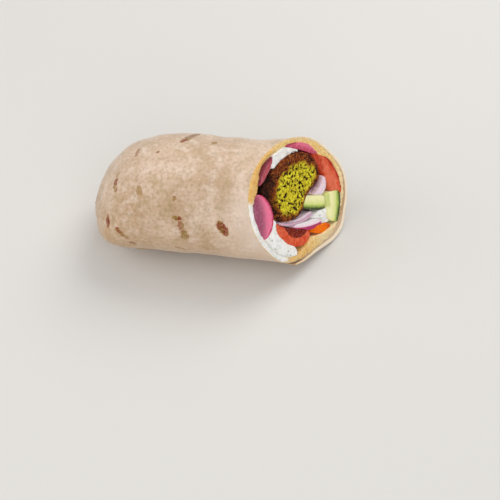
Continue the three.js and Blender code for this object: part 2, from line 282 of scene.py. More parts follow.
# %% Roll it up
EDGE_SINKS = 1.1  # the thin free edge lies down on the layer under it, except at the cut
under = turn > 360
past = np.where(under, turn - 360, turn)
axial, radial = np.cos(swing), np.sin(swing)
wound = FOLD_TURNS * np.maximum(0, 1 - swing / (math.pi / 2)) ** 1.2
degrees = LAP_EDGE + wound + past
offset = (lap_offset(past) - np.where(under, LAP_STEP, 0)) * (1 - 0.5 * axial)
offset -= EDGE_SINKS * (1 - smooth(0, 14, turn)) * (1 - smooth(0.72, 0.95, share))
offset *= smooth(0, 6, np.degrees(swing))
floor = np.where(under, LAP_STEP, 0)
straight_x = np.where(share > 0, CLOSED_END + DOME + share * (CUT_AT - CLOSED_END - DOME),
                      CLOSED_END + DOME * (1 - axial))
rolled = roll_point(straight_x, degrees, -offset * radial, floor)
# How far the slanted cut shifts a point depends on where it lies, so a few rounds settle it.
for _ in range(4):
    at = straight_x + lean(rolled) * share**1.3
    rolled = roll_point(at, degrees, -offset * radial, floor)
rolled[:, 0] -= offset * axial
place(flatbread, rolled)
print("rolled up:", np.ptp(rolled, axis=0).round(1), "mm")

# %% [markdown]
# ### Slack, dents and tucks
#
# Soft bread is never smooth. The fillings push it out in wide shallow bands, it dries into small
# dimples, and where the end was tucked in it gathers into tucks that run to the tip. A bump map
# alone would leave the outline ruled, so the larger of these move the mesh itself, inwards only,
# and the finish adds what is finer than a grain of rice.

# %% Dents and tucks
def unevenness(where, size, shift=0.0, octaves=2, stretch=(1, 1, 1)):
    """Cloudy noise at each point, from about -1 to 1, with lumps about this many mm wide."""
    scaled = where / (np.array(stretch) * size) + shift
    return np.array([noise.fractal(Vector(p), 1.0, 2.0, octaves) for p in scaled])


# Tucks at the closed end: angle round its tip, depth in mm and width in degrees.
TUCKS = ((20, 1.1, 9), (58, 0.8, 7), (96, 0.35, 6), (150, 0.3, 7), (196, 0.5, 8),
         (232, 0.9, 8), (284, 1.0, 10), (330, 1.2, 8))
from_tip = np.hypot(rolled[:, 1] - tip[1], (rolled[:, 2] - tip[2]) * 1.1)
round_tip = np.degrees(np.arctan2(rolled[:, 2] - tip[2], rolled[:, 1] - tip[1]))
on_end = smooth(1, 9, from_tip) * (1 - smooth(4, 22, rolled[:, 0] - CLOSED_END))
tucks = bulging(TUCKS, round_tip + 1.6 * from_tip)
dents = (0.42 * (unevenness(rolled, 15, 3.1, 2, (0.8, 2.2, 2.2)) - 0.5)
         + 0.20 * (unevenness(rolled, 6.5, 7.7) - 0.4))
on_table = 1 - smooth(0.4, 5, rolled[:, 2])
near_cut = smooth(0.93, 1.0, share)
sink = (dents * (1 - 0.6 * near_cut) - on_end * tucks) * (1 - on_table)
place(flatbread, rolled + points(flatbread, "vertex_normals", "vector") * sink[:, None])
print(f"dents go {-sink.min():.1f} mm deep")

# %% [markdown]
# ### Thickness and the cut edge
#
# The sheet gets its thickness inwards, with Solidify, and a vertex group makes it thinner where
# bread is pulled thin: at the free edge, and where the inner end runs out under the lap. The
# sheet's last row already lies along the slanted cut. Its inner side is slid along the roll until
# it lies on the same plane, so the rim that Solidify makes is the cut surface. It is inset and
# swells a little, as soft crumb does when it is cut, and can show the pale inside of the bread.

# %% Give it thickness
SINGLE = 1.4  # where the bread is one layer thick
SLIT, TOUCH = 0.45, 0.05  # how far the lap's edge stands open, and how far the layers press together
slit_closed = smooth(LAP_REACH - 22, LAP_REACH - 6, past)
lap = np.where(under, 0, 1 - smooth(LAP_REACH, LAP_REACH + 35, past))
thickness = SINGLE + lap * (LAP_STEP - SINGLE - SLIT * (1 - slit_closed) + TOUCH)
thickness = np.where(under, BREAD - 2 * smooth(LAP_REACH, LAP_REACH + 40, past), thickness)
thickness *= np.where(under, 1, 0.5 + 0.5 * smooth(0, 26, turn)) * np.where(
    under, 1, 0.5 + 0.5 * np.sqrt(np.clip(turn / 2.5, 0, 1)))
thickness += 0.12 * unevenness(rolled, 5, 2.2)
note(flatbread, "layer", under, on_face(rolled)[0])
group = flatbread.vertex_groups.new(name="thickness")
for index, weight in enumerate(np.clip(thickness / 2, 0.03, 1)):
    group.add([index], float(weight), "REPLACE")
modify(flatbread, "SOLIDIFY", thickness=2 * MM, offset=-1, vertex_group="thickness",
       thickness_vertex_group=0, use_rim=True)
both = points(flatbread)
outer, inner = both[:len(row)], both[len(row):]
inner[:, 0] += (lean(inner) - lean(outer)) * share**1.3
last_row = row == SHEET_ROWS
for side in (inner, outer):
    side[last_row, 0] = CUT_AT + lean(side[last_row])
    side[row == 0] = side[row == 0].mean(axis=0)
place(flatbread, both)
print("with its thickness:", triangles(flatbread), "triangles")

# %% The cut edge
RIM, CRUMB_SWELLS = 0.22, 0.15  # the baked rim round the crumb, and how far the crumb swells out
on_cut = np.tile(last_row, 2)
with edit_mode(flatbread, "DESELECT"):
    bpy.ops.mesh.select_mode(type="FACE")
    bread_mesh = bmesh.from_edit_mesh(flatbread.data)
    for face in bread_mesh.faces:
        if all(on_cut[vertex.index] for vertex in face.verts):
            face.select_set(True)
            face.material_index = 1
    bmesh.update_edit_mesh(flatbread.data)
    bpy.ops.mesh.inset(thickness=RIM * MM)
    bpy.ops.transform.translate(value=Vector(CUT_NORMAL) * CRUMB_SWELLS * MM)
    bpy.ops.mesh.select_all(action="SELECT")
    bpy.ops.mesh.remove_doubles(threshold=0.01 * MM)
cut_faces = sum(face.material_index == 1 for face in flatbread.data.polygons)
low, high = points(flatbread).min(0), points(flatbread).max(0)
print("cut faces:", cut_faces, "bread from", low.round(1), "to", high.round(1))

# %% [markdown]
# ## Working on a copied solid
#
# The spreads fill what the other pieces leave, so their outline is best taken from the packed
# solid: its mesh is copied, its loose triangles are merged, and it grows by the clearance that
# solids need and food doesn't have. Only the part near the cut is ever seen. That part is remeshed
# into small even squares, which can carry relief, and the hidden part stays as coarse as it came.

# %% Copies, halves and remeshing
def cut(piece, behind, keep="back"):
    """Cuts a piece parallel to the slanted cut, this many mm behind it, and closes it again."""
    with edit_mode(piece):
        bpy.ops.mesh.bisect(plane_co=Vector(CUT_MIDDLE - CUT_NORMAL * behind) * MM,
                            plane_no=Vector(CUT_NORMAL), clear_outer=keep == "back",
                            clear_inner=keep == "front")
        bpy.ops.mesh.select_mode(type="EDGE")
        bpy.ops.mesh.fill(use_beauty=True)
        bpy.ops.mesh.select_all(action="SELECT")
        bpy.ops.mesh.normals_make_consistent(inside=False)


def copy_of(node, name, grow):
    """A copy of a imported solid, its corners merged, and grown by this many mm."""
    copy = bpy.data.objects.new(name, frame["nodes"][node].data.copy())
    bpy.context.scene.collection.objects.link(copy)
    copy.data.name = name
    copy.data.materials.clear()
    with edit_mode(copy):
        bpy.ops.mesh.remove_doubles(threshold=0.001 * MM)
    place(copy, points(copy) + points(copy, "vertex_normals", "vector") * grow)
    return copy


def twin(piece, name):
    copy = bpy.data.objects.new(name, piece.data.copy())
    bpy.context.scene.collection.objects.link(copy)
    return copy


def join(piece, rest):
    only(piece)
    rest.select_set(True)
    bpy.ops.object.join()


def even_front(piece, depth, voxel, soften):
    """Remeshes the first `depth` mm behind the cut; gives back the hidden rest as its own piece."""
    rest = twin(piece, piece.name + "_rest")
    cut(rest, depth, keep="back")
    cut(piece, depth, keep="front")
    modify(piece, "REMESH", mode="VOXEL", voxel_size=voxel * MM)
    modify(piece, "SMOOTH", factor=0.5, iterations=soften)
    return rest


def facing_cut(piece):
    return smooth(0.25, 0.65, points(piece, "vertex_normals", "vector")[:, 0])


# %% [markdown]
# ## Hummus and garlic sauce
#
# Hummus is a coarse paste: the knife leaves it grainy and a little torn. The garlic sauce is a
# smooth cream that has run between the pieces and rounds off where it stands free. Both are made
# the same way, with grain for the one and soft swells for the other. Remeshing and smoothing
# round the rim off, so the front is then laid level with the bread's cut edge again, and heaped
# or lowered a little from there, at the angles where a roll squeezes its paste out or in.

# %% Hummus
hummus = copy_of("hummus", "hummus_spread", grow=0.12)
hummus_rest = even_front(hummus, depth=9, voxel=0.42, soften=3)
spread = points(hummus)
outwards = spread * (0, 1, 1) - (0, SIDE_SHIFT, MIDDLE_Z)
outwards /= np.linalg.norm(outwards, axis=1)[:, None]
facing = points(hummus, "vertex_normals", "vector")
away = (facing * outwards).sum(axis=1)


def angle_on_face(where):
    """Degrees round the cut face, anticlockwise from its right-hand side."""
    across_face, up_face = on_face(where)
    return np.degrees(np.arctan2(up_face, across_face)) % 360


# Angle on the face, height in mm and width in degrees: where the front is heaped or lowered, and
# where the lining is thicker towards the fillings.
HEAPS = ((310, 0.5, 35), (215, 0.5, 35), (112, -0.5, 22), (2, -0.6, 20))
THICKER = ((312, 1.8, 30), (328, 1.6, 12), (215, 0.7, 35))
grain = 0.32 * unevenness(spread, 1.4, 5.0, 3) + 0.3 * unevenness(spread, 4.5, 1.0, 2)
behind = behind_cut(spread)
face_angle = angle_on_face(spread)
heaped = bulging(HEAPS, face_angle) + 0.3 * smooth(0.1, 0.5, away)
top_rise = (behind + 0.05 + heaped + grain) * smooth(0.1, 0.45, facing[:, 0]) * (behind < 5)
filled = smooth(0.0, -0.6, away) * bulging(THICKER, face_angle)
# The outer side reaches out to the bread, a little further at the cut itself.
outward = (1.1 + 0.5 * smooth(2.5, 1.2, behind)) * smooth(0.1, 0.5, away)
push = (outward - filled) * smooth(9.0, 6.5, behind)
sideways = facing * (0, 0.3, 0.3) + outwards * push[:, None]
place(hummus, spread + sideways + np.outer(top_rise, CUT_NORMAL))
join(hummus, hummus_rest)
spread = points(hummus)
face_angle = angle_on_face(spread)
# At the lower left, garlic sauce is smeared over the hummus, between these angles.
smear = smooth(184, 190, face_angle + 3 * unevenness(spread, 3.0)) * smooth(262, 250, face_angle)
note(hummus, "smear", smear, behind_cut(spread), face_angle)
print("hummus:", triangles(hummus), "triangles")

# %% Garlic sauce
sauce = copy_of("garlic_sauce", "garlic_sauce_cream", grow=0.1)
sauce_rest = even_front(sauce, depth=10, voxel=0.45, soften=7)
cream = points(sauce)
ripple = 0.75 * unevenness(cream, 4.6, 9.0, 2) + 0.2 * unevenness(cream, 1.6, 2.0, 2)
facing = points(sauce, "vertex_normals", "vector")
behind = behind_cut(cream)
top_rise = (behind + 0.3 + ripple) * smooth(0.1, 0.45, facing[:, 0]) * smooth(3.0, 2.0, behind)
push = 0.4 * smooth(10.0, 7.5, behind)
place(sauce, cream + facing * push[:, None] + np.outer(top_rise, CUT_NORMAL))
join(sauce, sauce_rest)
note(sauce, "hollow", behind_cut(points(sauce)))
print("garlic sauce:", triangles(sauce), "triangles")

# %% [markdown]
# ## The falafel
#
# A falafel is a ball of coarse chickpea and herb paste, fried until its crust is dark and craggy.
# The cut broke this one open: its crumb is bright green, full of pits, and stands a little
# proud. A sphere is pulled to the ball's size, sliced by a plane with the bisect operator, cut
# back where a slice of radish leans on it, and remeshed. Its relief comes further on, once it is
# known where the slices lie.

# %% The ball
BALL_AT, BALL_TURN = (-7.7, 8.1), 60.0  # across and up the cut face, and how its length leans there
BALL_HALF = (13.2, 19.8, 14.0)  # half its width, length and depth
BALL_PROUD, BALL_DEPTH = 1.8, 2.0  # how far the broken side stands out, and its widest part lies in
DENT_AT, DENT_DEEP, DENT_WIDE = 0.1, 0.37, 0.43  # the cucumber presses it flat on one side


def dented(unit):
    """How much narrower the ball is at a height from -1 to 1, on its right side."""
    return np.where(unit[:, 0] > 0, 1 - DENT_DEEP * swell(DENT_AT, DENT_WIDE, unit[:, 1]), 1)


bpy.ops.object.select_all(action="DESELECT")
bpy.ops.mesh.primitive_ico_sphere_add(subdivisions=6, radius=MM)
falafel = newest("falafel_ball")
unit = points(falafel)
unit[:, 0] *= dented(unit)
spin = math.radians(BALL_TURN - 90)
wide = math.cos(spin) * FACE_RIGHT + math.sin(spin) * FACE_UP
tall = -math.sin(spin) * FACE_RIGHT + math.cos(spin) * FACE_UP
slanted = np.array((cut_slope, 0, 0))
ball_middle = (CUT_MIDDLE + BALL_AT[0] * FACE_RIGHT + BALL_AT[1] * FACE_UP
               + np.array((cut_slope * BALL_AT[0], 0, 0))
               + np.array((1, 0, 0)) * (BALL_PROUD - BALL_DEPTH) / math.cos(math.radians(CUT_ANGLE)))
axes = np.array((wide + slanted * math.cos(spin), tall - slanted * math.sin(spin), (1, 0, 0)))
place(falafel, ball_middle + (unit * BALL_HALF) @ axes)
cut(falafel, -BALL_PROUD)
radish_beside = copy_of("radish_front", "radish_groove", grow=0.1)
modify(falafel, "BOOLEAN", object=radish_beside, operation="DIFFERENCE", solver="MANIFOLD")
bpy.data.objects.remove(radish_beside)
modify(falafel, "REMESH", mode="VOXEL", voxel_size=0.3 * MM)
modify(falafel, "SMOOTH", factor=0.5, iterations=5)
print("falafel:", triangles(falafel), "triangles")

# %% [markdown]
# ## Where the slices lie
#
# Seen from the cut, each slice of vegetable is a bent lens: long, thickest in its middle, and
# curved. Eleven of them can be drawn one by one, but a table keeps them comparable and lets one
# function make them all. It also tells, for any point, how far it lies along and across a lens.
# The falafel needs that first, because it is hollowed beside the radish.

# %% Eleven bent lenses
# Middle on the cut face, turn, length, thickness, bend in degrees, how full the ends are, taper,
# how far it stands proud of the cut, and x of its hidden end.
SLICES = {
    "cucumber_large": ((20.1, 2.2), 98, 15.6, 10.0, 26, 4, 0.2, 0.6, -34),
    "cucumber_small": ((6.6, 2.2), 9, 13.4, 7.2, 12, 6, 0, 1.0, -30),
    "radish_top": ((-4.6, 29.3), 4, 22.6, 3.9, -34, 2.4, 0.6, 0.5, -38),
    "radish_side": ((-23.5, 12.9), 67, 17, 3.5, 12, 2.4, 0, 0.2, -36),
    "radish_front": ((-22.3, -9.2), 104, 22.4, 10.2, 43, 1.7, 0, 0.6, -32),
    "tomato_upper": ((15.5, 19.9), -45, 27, 8.4, -54, 2.6, 0, 0.3, -36),
    "tomato_lower": ((-4.7, -17.0), -3, 23.8, 9.2, 100, 1.9, 0.42, 0.0, -34),
    "carrot": ((13.1, -10.2), 23, 11, 4.4, 10, 2.4, 0, 0.8, -20),
    "onion_skin": ((4.6, -9.9), 19, 17.6, 4.4, 26, 2.6, 0.2, 0.6, -24),
    "onion_strip": ((-2.2, -9), 23, 21, 2.9, 50, 5, 0, 0.5, -28),
    "onion_petal": ((9.4, 11), 64, 12, 8.4, 60, 2.2, 0, 0.4, -26),
}


def lens_place(where, name):
    """How far points lie along and across a slice's bent lens, in mm."""
    at, turned, length, _, bend = SLICES[name][:5]
    a, b = on_face(where)
    c, s = math.cos(math.radians(turned)), math.sin(math.radians(turned))
    u, v = (a - at[0]) * c + (b - at[1]) * s, -(a - at[0]) * s + (b - at[1]) * c
    radius = length / math.radians(bend)
    side = math.copysign(1, radius)
    return np.arctan2(side * u, side * (radius - v)) * radius, radius - side * np.hypot(u, radius - v)


print(len(SLICES), "slices of vegetable")

# %% [markdown]
# ## Crust and crumb
#
# The crust is craggy: lumps of chickpea, with cracks between them where a cell pattern has its
# seams. The crumb is soft, with small pits all over and a few large ones. A bump in the finish
# can't darken a pit or break an outline, so both are moved in the mesh. Each point keeps how deep
# it lies under the shell, whether it is broken crumb, and how deep in a pit it is, for the finish.

# %% Which points are crust and which are crumb
ball = points(falafel)
local = (ball - ball_middle) @ np.linalg.inv(axes) / BALL_HALF
local[:, 0] /= dented(local)
crust_side = smooth(-0.2, 1.0, -0.8 * local[:, 0] + 0.5 * local[:, 1])  # the crust is thickest up left
along, across = lens_place(ball, "radish_front")
half_radish = SLICES["radish_front"][2] / 2
along_radish = smooth(half_radish + 2, half_radish - 3, abs(along))
beside_radish = smooth(-7.8, -5.6, across) * along_radish
# About how many mm each point lies inside the crust. In the crust itself this is below 0.
shell_depth = ((1 - np.linalg.norm(local, axis=1)) * 13 - 0.3 - 2.2 * crust_side
               - 1.2 * smooth(-9.5, -7.0, across) * along_radish)
broken = smooth(-BALL_PROUD + 1.2, -BALL_PROUD + 0.2, behind_cut(ball)) * smooth(0.2, 1.6, shell_depth)
print(f"{100 * (broken > 0.5).mean():.0f}% of the ball's points are crumb")


# %% Crags, pits and a hole
def cells(where, size, shift):
    """For each point, the distance to the nearest cell's middle and to the nearest seam, 0 to 1."""
    found = [noise.voronoi(Vector(p))[0] for p in where / size + shift]
    nearest, second = np.array(found)[:, 0], np.array(found)[:, 1]
    return nearest, second - nearest


HOLE_AT = (-8.1, 21.4)  # on the cut face: a crumb has fallen out of the crust here

nearest, seam = cells(ball, 2.3, 4.0)
grain_nearest, _ = cells(ball, 1.1, 9.0)
open_crumb = 0.22 * unevenness(ball, 5.0, 6.0, 2)
small_pits = smooth(0.1, 0.5, unevenness(ball, 1.45, 2.0, 3) + open_crumb)
large_pits = smooth(0.3, 0.55, unevenness(ball, 2.2, 11.0, 2))
hole_a, hole_b = on_face(ball)
hole = swell(0, 1.3, np.hypot(hole_a - HOLE_AT[0], hole_b - HOLE_AT[1])) * smooth(6, 2, behind_cut(ball))
lumps = 0.5 * unevenness(ball, 6.5, 1.0, 2) + 0.25 * (0.5 - grain_nearest)
crumb = lumps - 0.4 * small_pits - 0.6 * large_pits
crags = (0.42 * unevenness(ball, 5.0, 3.0, 3) + 0.42 * (nearest - 0.5)
         - 0.35 * smooth(0.35, 0.1, seam) + 0.16 * unevenness(ball, 1.2, 6.0, 2))
relief = broken * crumb + (1 - broken) * crags - hole
# Beside the radish, the ball gives way and lies no higher than the cut.
ball -= np.outer(np.maximum(0, 0.2 - behind_cut(ball)) * beside_radish, CUT_NORMAL)
place(falafel, ball + points(falafel, "vertex_normals", "vector") * relief[:, None])
note(falafel, "bite", shell_depth, broken, np.maximum(np.maximum(0.85 * small_pits, large_pits), hole))
note(falafel, "crust", crags, behind_cut(ball), hole_a)
print(f"crumb relief from {(broken * crumb).min():.1f} to {(broken * crumb).max():.1f} mm")

# %% [markdown]
# ## Slices of vegetable
#
# To make a slice, a circle is pulled into the outline of its lens, extruded back along the roll,
# and trimmed with its own solid, grown a little, so that it gives way to its neighbours exactly
# where the solids do. Every point of it then keeps how far it lies along and across the lens, and
# how far behind the cut. The finishes use that to put the skin on the right edge.

# %% One slice
# How far a slice may reach past its solid, where it lies over the edge of the hummus.
ROOM = {"radish_top": 1.5, "radish_front": 1.2, "radish_side": 1.0, "tomato_upper": 0.9, "carrot": 0.9,
        "cucumber_large": 1.6, "onion_skin": 1.2}
LEAST_ROOM = 0.45  # and so far where it isn't in the table


def slice_piece(name):
    """The slice's seen front, remeshed, and its hidden rest."""
    at, turned, length, thick, bend, full, taper, proud, start = SLICES[name]
    half = length / 2
    bpy.ops.object.select_all(action="DESELECT")
    bpy.ops.mesh.primitive_circle_add(vertices=120, radius=half * MM, fill_type="NGON")
    piece = newest(name + "_slice")
    disc = points(piece) / half
    along = np.clip(disc[:, 0], -1, 1)
    wide = thick / 2 * (1 + taper * along) * (1 - abs(along) ** full) ** (1 / full)
    across = np.sign(disc[:, 1]) * wide
    radius = length / math.radians(bend)
    swung = half * along / radius
    u, v = np.sin(swung) * (radius - across), radius - np.cos(swung) * (radius - across)
    c, s = math.cos(math.radians(turned)), math.sin(math.radians(turned))
    a, b = at[0] + u * c - v * s, at[1] + u * s + v * c
    front = CUT_AT + cut_slope * a + proud / math.cos(math.radians(CUT_ANGLE))
    outline = np.column_stack((front, np.zeros_like(a), np.full_like(a, FACE_Z)))
    place(piece, outline + np.outer(a, FACE_RIGHT) + np.outer(b, FACE_UP))
    with edit_mode(piece):
        bpy.ops.mesh.extrude_region_move(TRANSFORM_OT_translate={"value": (-0.01, 0, 0)})
        # What was extruded is still selected. It is laid flat at the hidden end.
        mesh = bmesh.from_edit_mesh(piece.data)
        for vertex in mesh.verts:
            if vertex.select:
                vertex.co.x = start * MM
        bpy.ops.mesh.select_all(action="SELECT")
        bpy.ops.mesh.normals_make_consistent(inside=False)
    trimmer = copy_of(name, name + "_trimmer", grow=ROOM.get(name, LEAST_ROOM))
    modify(piece, "BOOLEAN", object=trimmer, operation="INTERSECT", solver="MANIFOLD")
    bpy.data.objects.remove(trimmer)
    return piece, even_front(piece, depth=9, voxel=0.32, soften=3)


slices = {}
for name in SLICES:
    slices[name] = slice_piece(name)
    print(name, triangles(slices[name][0]), "triangles in front,", triangles(slices[name][1]), "behind")

# %% Relief on the slices
SUNK = 0.1  # mm; wet flesh draws back this much from where the knife passed


def relief_on(name, amount):
    """Moves the cut surface of a slice in or out, and notes where each point lies on it."""
    piece, rest = slices[name]
    where = points(piece)
    _, across = lens_place(where, name)
    lift = (amount(where, across) - SUNK) * facing_cut(piece)
    place(piece, where + lift[:, None] * CUT_NORMAL)
    join(piece, rest)
    where = points(piece)
    along, across = lens_place(where, name)
    note(piece, "slice", along, across, behind_cut(where))
    print(f"{name}: {np.ptp(along):.1f} mm long and {np.ptp(across):.1f} mm across")


def rings_of_onion(where, across):
    return 0.14 * np.cos(across * 2 * math.pi / 2.2) + 0.12 * unevenness(where, 2.5)


def soft_flesh(deep, size):
    return lambda where, across: deep * unevenness(where, size, 4.0, 3)


RELIEF = {"onion": rings_of_onion, "tomato": soft_flesh(0.35, 2.6), "cucumber": soft_flesh(0.16, 3.0),
          "radish": soft_flesh(0.2, 2.4), "carrot": soft_flesh(0.2, 2.4)}
for name in SLICES:
    relief_on(name, RELIEF[name.split("_")[0]])

# %% [markdown]
# ## Building a finish
#
# A finish is a material made of nodes that read the object's own coordinates, so a pattern stays
# where it is when the object is seen from another side. The class below only keeps the node
# building short: capital names are sockets of a node, the others are its settings.

# %% The finish builder
def colour(code):
    """A colour as it looks on screen, such as "d2b79d", in the linear values that light needs."""
    seen = np.array([int(code[k:k + 2], 16) / 255 for k in (0, 2, 4)])
    linear = np.where(seen <= 0.04045, seen / 12.92, ((seen + 0.055) / 1.055) ** 2.4)
    return (*linear, 1.0)


class Finish:
    def __init__(self, name, **sockets):
        self.material = bpy.data.materials.new(name)
        self.material.use_nodes = True
        self.tree = self.material.node_tree
        self.shader = self.tree.nodes["Principled BSDF"]
        self.set(self.shader, sockets)
        self.place = self.node("TexCoord").outputs["Object"]
        self.normal = None

    def set(self, node, values):
        """Sets a node. I_6 is its socket number 6, for nodes whose sockets share a name."""
        for key, value in values.items():
            if key[0].islower():
                setattr(node, key, value)
                continue
            socket = node.inputs[int(key[2:]) if key.startswith("I_") else key.replace("_", " ")]
            if isinstance(value, bpy.types.NodeSocket):
                self.tree.links.new(value, socket)
            else:
                socket.default_value = value

    def node(self, kind, **values):
        node = self.tree.nodes.new("ShaderNode" + kind)
        self.set(node, values)
        return node

    def math(self, operation, first, second=0.0):
        """One sum on two values, done afresh at every point of the surface."""
        return self.node("Math", operation=operation, I_0=first, I_1=second).outputs[0]

    def times(self, first, second):
        return self.math("MULTIPLY", first, second)

    def clouds(self, size, detail=3.0, rough=0.5, shift=(0, 0, 0), stretch=(1, 1, 1)):
        """Soft noise with lumps about `size` mm wide, 0 to 1."""
        scale = tuple(1 / (size * MM * s) for s in stretch)
        moved = self.node("Mapping", Vector=self.place, Location=shift, Scale=scale)
        return self.node("TexNoise", Vector=moved.outputs[0], Scale=1.0, Detail=detail,
                         Roughness=rough).outputs["Fac"]

    def spread(self, value, low, high, to_low=0.0, to_high=1.0):
        """Turns a value from low to high into one from to_low to to_high, with soft ends."""
        return self.node("MapRange", Value=value, From_Min=low, From_Max=high, To_Min=to_low,
                         To_Max=to_high, interpolation_type="SMOOTHSTEP").outputs[0]

    def mix(self, share, first, second):
        """The first colour where the share is 0, the second where it is 1."""
        first, second = (colour(c) if isinstance(c, str) else c for c in (first, second))
        return self.node("Mix", data_type="RGBA", I_0=share, I_6=first, I_7=second).outputs[2]

    def kept(self, name):
        """The three values that each point was given by note."""
        vector = self.node("Attribute", attribute_name=name).outputs["Vector"]
        return self.node("SeparateXYZ", Vector=vector).outputs

    def bump(self, height, deep):
        """Makes the surface look raised by up to so many mm, on top of the bumps it has."""
        values = {"Height": height, "Distance": deep * MM}
        if self.normal:
            values["Normal"] = self.normal
        self.normal = self.node("Bump", **values).outputs[0]

    def done(self, base, roughness=None):
        """Joins the colour, the roughness and the bumps to the shader."""
        self.tree.links.new(base, self.shader.inputs["Base Color"])
        if roughness is not None:
            self.tree.links.new(roughness, self.shader.inputs["Roughness"])
        if self.normal:
            self.tree.links.new(self.normal, self.shader.inputs["Normal"])
        return self.material


# %% [markdown]
# ## The bread's finish
#
# Flatbread is baked on a hot plate. Its skin is a pale, slightly pink tan with a bloom of flour,
# and where it bubbled up against the plate it has toasted marks, from golden to red brown. Marks
# from a noise pattern would fall anywhere, so each mark is placed: it is a flat blob that lies on
# the skin at its own spot, with its own length, tilt and darkness, and noise frays its edge.

# %% Toasted marks
# x along the roll, degrees round it, half length, half width, tilt (0 along the roll, 90 round it), heat
MARKS = [
    (-17.6, 66, 9.0, 1.9, 118, 1.0), (-43.2, 85, 2.9, 1.0, 100, 0.73), (-32, 92, 1.0, 0.8, 40, 0.68),
    (-5, 76, 1.7, 1.0, 120, 0.78), (-52.4, 103, 1.7, 1.7, 80, 0.43), (-52.6, 112, 2.9, 1.3, 100, 0.9),
    (-52.0, 120, 1.5, 1.3, 95, 0.73), (-38.8, 130, 2.6, 1.7, 80, 0.53), (-21, 138, 1.2, 1.0, 90, 0.58),
    (-55.4, 154, 3.7, 1.5, 85, 1.0), (-49.4, 167, 1.8, 1.3, 60, 1), (-46.8, 174, 3.6, 1.1, 55, 0.68),
    (-42.6, 190, 2.5, 1.0, 30, 0.78), (-19.4, 156, 2.4, 1.3, 10, 0.98), (-17.4, 163, 2.6, 1.8, 80, 0.63),
    (-15.4, 173, 3.7, 2.0, 75, 0.73), (3.2, 163, 4.9, 2.4, 60, 1), (-18.5, 194, 3.4, 1.1, 20, 0.53),
]
hidden_sides = random.Random(11)
for _ in range(20):
    MARKS.append((hidden_sides.uniform(-54, 26), hidden_sides.uniform(205, 404),
                  hidden_sides.uniform(1.2, 4.8), hidden_sides.uniform(0.7, 1.7),
                  hidden_sides.uniform(20, 160), hidden_sides.uniform(0.3, 0.95)))


def mark_frame(x, round_it, tilt):
    """Where a mark lies on the skin, and the turn that lays its length along the skin."""
    round_them = np.array([round_it, round_it, round_it + 1.5])
    here, along, beside = roll_point(np.array([x, x + 1, x]), round_them, np.zeros(3))
    forward, sideways = Vector(along - here).normalized(), Vector(beside - here).normalized()
    tilted = forward * math.cos(math.radians(tilt)) + sideways * math.sin(math.radians(tilt))
    outward = forward.cross(sideways).normalized()
    axes = Matrix((tilted.normalized(), outward.cross(tilted).normalized(), outward)).transposed()
    return here * MM, axes.to_euler()


MARK_REACH = 3.0  # mm above and below the skin, so that a mark doesn't miss a dent


def nearness(finish, where):
    """How deep inside the nearest mark each place is: above 0 inside, 1 in its middle; and its heat."""
    best, heat = None, None
    for x, round_it, long, wide, tilt, hot in MARKS:
        here, turned = mark_frame(x, round_it, tilt)
        blob = finish.node("Mapping", vector_type="TEXTURE", Vector=where, Location=here, Rotation=turned,
                           Scale=(long * MM, wide * MM, MARK_REACH * MM))
        away = finish.node("VectorMath", operation="LENGTH", Vector=blob.outputs[0]).outputs["Value"]
        inside = finish.math("SUBTRACT", 1.0, away)
        warm = finish.times(finish.spread(inside, -0.35, 0.1), hot)
        best = inside if best is None else finish.math("MAXIMUM", best, inside)
        heat = warm if heat is None else finish.math("MAXIMUM", heat, warm)
    return best, heat


print(len(MARKS), "toasted marks")

# %% Baked skin
skin = Finish("baked_flatbread", Roughness=0.8, Specular_IOR_Level=0.3, Subsurface_Weight=0.08,
              Sheen_Weight=0.5, Sheen_Roughness=0.45,
              Subsurface_Scale=1.0, Subsurface_Radius=(0.002, 0.0012, 0.0007))
wide_clouds = skin.clouds(22, 3, 0.55, stretch=(0.8, 1, 1))
mid_clouds = skin.clouds(7, 4, 0.6, (3, 1, 7))
fine_clouds = skin.clouds(1.7, 4, 0.6, (1, 5, 2))
base = skin.mix(skin.spread(wide_clouds, 0.36, 0.66), "c3a383", "dabfa7")
base = skin.mix(skin.spread(mid_clouds, 0.5, 0.68, 0, 0.5), base, "ecd9ca")
base = skin.mix(skin.spread(mid_clouds, 0.48, 0.3, 0, 0.5), base, "b59a6c")
base = skin.mix(skin.spread(fine_clouds, 0.52, 0.36, 0, 0.42), base, "9c8660")
base = skin.mix(skin.spread(fine_clouds, 0.56, 0.7, 0, 0.32), base, "f2e2d6")
# Painted light makes it paler on top; towards the cut it is paler, partly from flour and partly as a
# painted highlight; painted shade makes it browner low down.
where_x, _, height = skin.node("SeparateXYZ", Vector=skin.place).outputs
base = skin.mix(skin.spread(height, 0.054, 0.0605, 0, 0.15), base, "f0ddca")
# Partly flour and partly a painted highlight: paler towards the cut, below the top.
beside_cut = skin.times(skin.spread(where_x, -0.006, 0.02), skin.spread(height, 0.0585, 0.051, 0, 0.55))
base = skin.mix(beside_cut, base, "f6e5d8")
# Painted shade: browner low down on the roll.
base = skin.mix(skin.spread(height, 0.040, 0.006, 0, 0.72), base, "ae8444")
